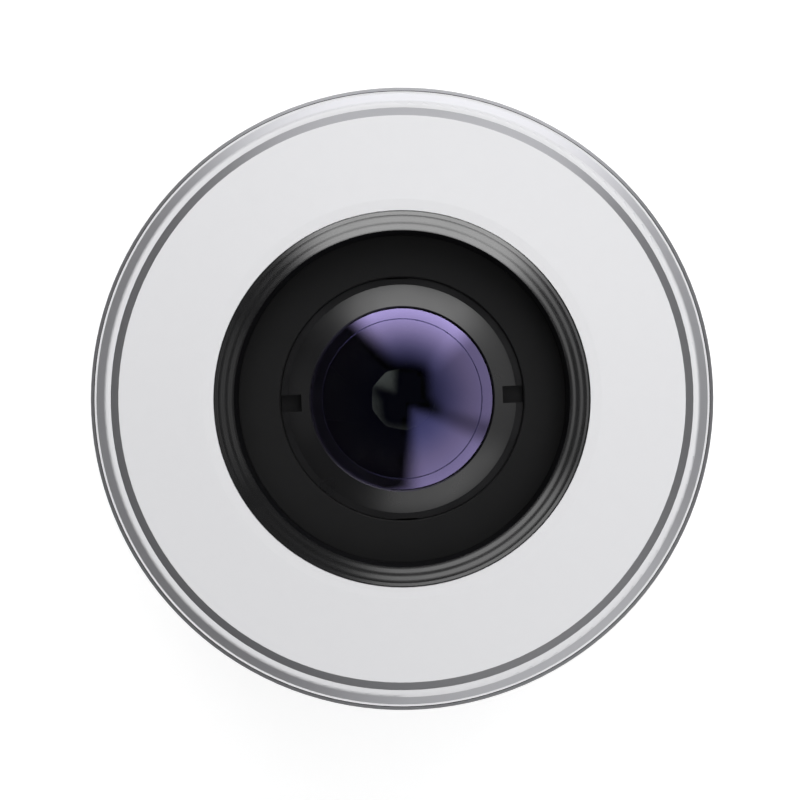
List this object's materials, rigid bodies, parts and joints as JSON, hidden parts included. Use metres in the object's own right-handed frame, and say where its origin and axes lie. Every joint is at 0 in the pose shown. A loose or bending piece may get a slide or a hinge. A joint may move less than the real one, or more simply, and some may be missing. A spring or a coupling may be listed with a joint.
{
  "type": "macro lens",
  "caption": "Compact silver macro lens for a mirrorless camera, with a helical focus ring, an aperture ring with click stops, a bladed iris and a bayonet mount.",
  "frame": {"origin": "on the optical axis, in the rear plane of the bayonet's tabs, where the lens stands", "axes": "+Z along the optical axis towards the front glass, +Y through the red alignment dot"},
  "size_m": [0.064, 0.064, 0.0586],
  "materials": {
    "silver_body": "bead-blasted and clear anodised, satin",
    "silver_turned": "fine turned, clear anodised",
    "black_anodised": "black anodised, satin",
    "black_flat": "black anodised, matt",
    "chrome_brass": "hard chrome plate on brass",
    "steel": "plain steel",
    "brass": "turned brass",
    "raw_aluminium": "turned",
    "black_moulded": "moulded, matt",
    "blade_black": "black coated spring steel",
    "felt": "wool felt",
    "red_enamel": "enamel",
    "coated_glass": "polished, violet anti-reflection coat",
    "inner_glass": "polished, anti-reflection coat"
  },
  "bodies": {
    "root": {"bayonet_mount": "chrome_brass", "mount_screws": "steel", "rear_baffle": "black_moulded", "rear_barrel": "silver_body", "index_dot": "red_enamel", "guide_sleeve": "raw_aluminium", "guide_screws": "steel", "cam_retainer": "raw_aluminium", "index_ring": "silver_turned", "index_ring_screws": "steel", "click_ball": "steel", "click_spring": "steel"},
    "focus": {"focus_ring": "silver_body", "cam_sleeve": "brass", "focus_ring_screws": "steel", "focus_ring_felt": "felt"},
    "aperture": {"aperture_ring": "silver_body", "aperture_drive_ring": "raw_aluminium", "aperture_link_screws": "steel"},
    "front_group": {"front_barrel": "black_anodised", "inner_carrier": "raw_aluminium", "carrier_screws": "steel", "guide_rollers": "brass", "roller_screws": "steel", "front_bezel": "silver_body", "front_collar": "black_anodised", "collar_screws": "steel", "front_plate": "black_flat", "front_retainer": "black_anodised", "front_cell": "black_flat", "front_element": "coated_glass", "front_spacer": "black_flat", "front_crown": "inner_glass", "front_flint": "inner_glass", "iris_housing": "black_flat", "iris_cover": "black_flat", "rear_cell": "black_flat", "rear_flint": "inner_glass", "rear_crown": "inner_glass", "rear_spacer": "black_flat", "rear_element": "inner_glass", "rear_retainer": "black_flat"},
    "iris_actuator": {"iris_actuator": "black_flat"},
    "blade_1": {"iris_blade_1": "blade_black"},
    "blade_2": {"iris_blade_2": "blade_black"},
    "blade_3": {"iris_blade_3": "blade_black"},
    "blade_4": {"iris_blade_4": "blade_black"},
    "blade_5": {"iris_blade_5": "blade_black"},
    "blade_6": {"iris_blade_6": "blade_black"},
    "blade_7": {"iris_blade_7": "blade_black"},
    "blade_8": {"iris_blade_8": "blade_black"},
    "blade_9": {"iris_blade_9": "blade_black"}
  },
  "joints": [
    {"name": "focus_turn", "type": "hinge", "parent": "root", "child": "focus", "pos_m": [0, 0, 0], "axis": [0, 0, 1], "range_deg": [0, 240]},
    {"name": "aperture_turn", "type": "hinge", "parent": "root", "child": "aperture", "pos_m": [0, 0, 0], "axis": [0, 0, 1], "range_deg": [-36.62, 6.61]},
    {"name": "focus_slide", "type": "slide", "parent": "root", "child": "front_group", "axis": [0, 0, 1], "range_m": [0, 0.014]},
    {"name": "iris_turn", "type": "hinge", "parent": "front_group", "child": "iris_actuator", "pos_m": [0, 0, 0.041], "axis": [0, 0, 1], "range_deg": [-36.62, 6.61]},
    {"name": "blade_1_turn", "type": "hinge", "parent": "front_group", "child": "blade_1", "pos_m": [0.0132, 0, 0.0426], "axis": [0, 0, 1], "range_deg": [-18.31, 3.31]},
    {"name": "blade_2_turn", "type": "hinge", "parent": "front_group", "child": "blade_2", "pos_m": [0.01011, 0.00848, 0.0426], "axis": [0, 0, 1], "range_deg": [-18.31, 3.31]},
    {"name": "blade_3_turn", "type": "hinge", "parent": "front_group", "child": "blade_3", "pos_m": [0.00229, 0.013, 0.0426], "axis": [0, 0, 1], "range_deg": [-18.31, 3.31]},
    {"name": "blade_4_turn", "type": "hinge", "parent": "front_group", "child": "blade_4", "pos_m": [-0.0066, 0.01143, 0.0426], "axis": [0, 0, 1], "range_deg": [-18.31, 3.31]},
    {"name": "blade_5_turn", "type": "hinge", "parent": "front_group", "child": "blade_5", "pos_m": [-0.0124, 0.00451, 0.0426], "axis": [0, 0, 1], "range_deg": [-18.31, 3.31]},
    {"name": "blade_6_turn", "type": "hinge", "parent": "front_group", "child": "blade_6", "pos_m": [-0.0124, -0.00451, 0.0426], "axis": [0, 0, 1], "range_deg": [-18.31, 3.31]},
    {"name": "blade_7_turn", "type": "hinge", "parent": "front_group", "child": "blade_7", "pos_m": [-0.0066, -0.01143, 0.0426], "axis": [0, 0, 1], "range_deg": [-18.31, 3.31]},
    {"name": "blade_8_turn", "type": "hinge", "parent": "front_group", "child": "blade_8", "pos_m": [0.00229, -0.013, 0.0426], "axis": [0, 0, 1], "range_deg": [-18.31, 3.31]},
    {"name": "blade_9_turn", "type": "hinge", "parent": "front_group", "child": "blade_9", "pos_m": [0.01011, -0.00848, 0.0426], "axis": [0, 0, 1], "range_deg": [-18.31, 3.31]}
  ],
  "couplings": [
    {"joint": "focus_slide", "follows": "focus_turn", "m_per_rad": 0.0033423},
    {"joint": "iris_turn", "follows": "aperture_turn", "ratio": 1},
    {"joint": "blade_1_turn", "follows": "aperture_turn", "ratio": 0.5},
    {"joint": "blade_2_turn", "follows": "aperture_turn", "ratio": 0.5},
    {"joint": "blade_3_turn", "follows": "aperture_turn", "ratio": 0.5},
    {"joint": "blade_4_turn", "follows": "aperture_turn", "ratio": 0.5},
    {"joint": "blade_5_turn", "follows": "aperture_turn", "ratio": 0.5},
    {"joint": "blade_6_turn", "follows": "aperture_turn", "ratio": 0.5},
    {"joint": "blade_7_turn", "follows": "aperture_turn", "ratio": 0.5},
    {"joint": "blade_8_turn", "follows": "aperture_turn", "ratio": 0.5},
    {"joint": "blade_9_turn", "follows": "aperture_turn", "ratio": 0.5}
  ]
}
